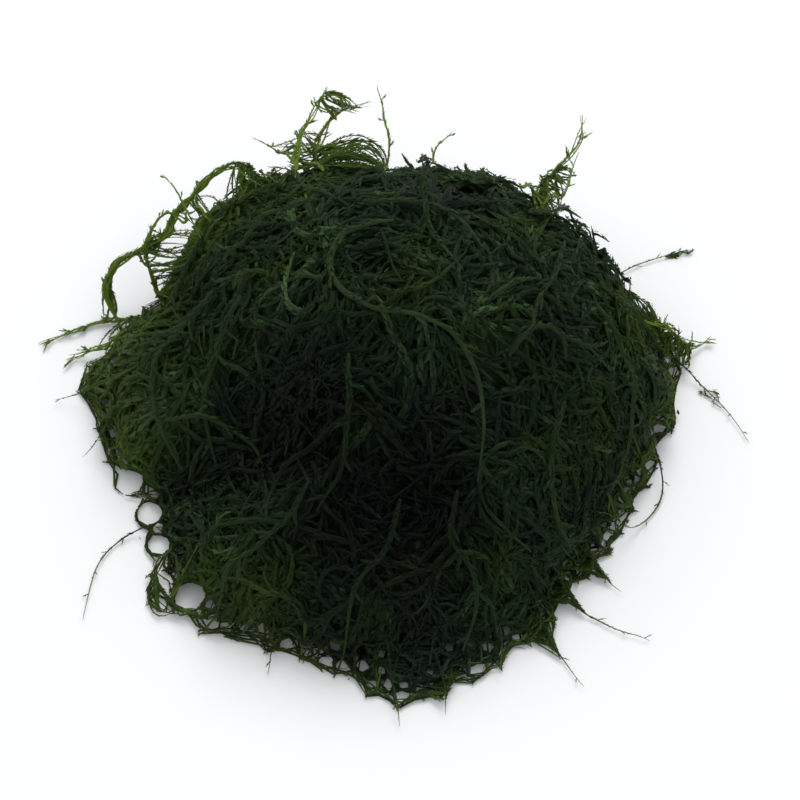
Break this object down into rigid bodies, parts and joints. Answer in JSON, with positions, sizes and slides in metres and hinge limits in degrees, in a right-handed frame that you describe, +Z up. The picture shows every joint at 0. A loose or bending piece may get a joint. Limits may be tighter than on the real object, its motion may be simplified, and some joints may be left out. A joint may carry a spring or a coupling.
{
  "type": "aquarium moss clump",
  "caption": "Loose low mound of tangled, slender leafy moss shoots with a thin ragged skirt and single stems that trail, loop and arch out of it.",
  "frame": {"origin": "on the flat underside, below the middle of the mound", "axes": "+Z up out of the surface that the clump lies on, +X along its longest side, -Y is the front that the picture looks at"},
  "size_m": [0.124, 0.114, 0.043],
  "materials": {
    "moss": "matt, dark green, a dense tangle of tiny leaves",
    "shoot": "damp satin, mid to yellow green, thin and translucent at the tips"
  },
  "bodies": {
    "root": {"arched_stem_inner": "shoot", "arched_stem_outer": "shoot", "crossing_stem_back": "shoot", "crossing_stem_left": "shoot", "crossing_stem_right": "shoot", "crossing_stem_top": "shoot", "curled_stem_top": "shoot", "curved_stem_left": "shoot", "draped_stem_back_left": "shoot", "draped_stem_back_right": "shoot", "draped_stem_left": "shoot", "draped_stem_right": "shoot", "draped_stem_upper_left": "shoot", "flap_stem_back": "shoot", "forked_stem_top": "shoot", "forked_tip_left": "shoot", "hanging_stem_back": "shoot", "hanging_stem_back_right": "shoot", "hanging_stem_front": "shoot", "hanging_stem_front_left": "shoot", "hanging_stem_front_right": "shoot", "hanging_stem_middle": "shoot", "hanging_stem_right": "shoot", "long_tip_front_left": "shoot", "long_tip_front_right": "shoot", "looped_stem_back": "shoot", "looped_stem_front_left": "shoot", "looped_stem_right": "shoot", "moss_mat": "moss", "short_tip_front": "shoot", "short_tip_left": "shoot", "spike_stem_back": "shoot", "spike_stem_back_left": "shoot", "standing_stem_back": "shoot", "standing_stem_back_right": "shoot", "standing_stem_right": "shoot", "thin_stem_back_left": "shoot", "tip_stem_front": "shoot", "tip_stem_front_left": "shoot", "tip_stem_front_right": "shoot", "tip_stem_left": "shoot", "tip_stem_lower_right": "shoot", "tip_stem_right": "shoot", "trailing_stem_back": "shoot", "trailing_stem_back_right": "shoot", "trailing_stem_front_right": "shoot", "trailing_stem_left": "shoot", "trailing_stem_right": "shoot"}
  },
  "joints": []
}
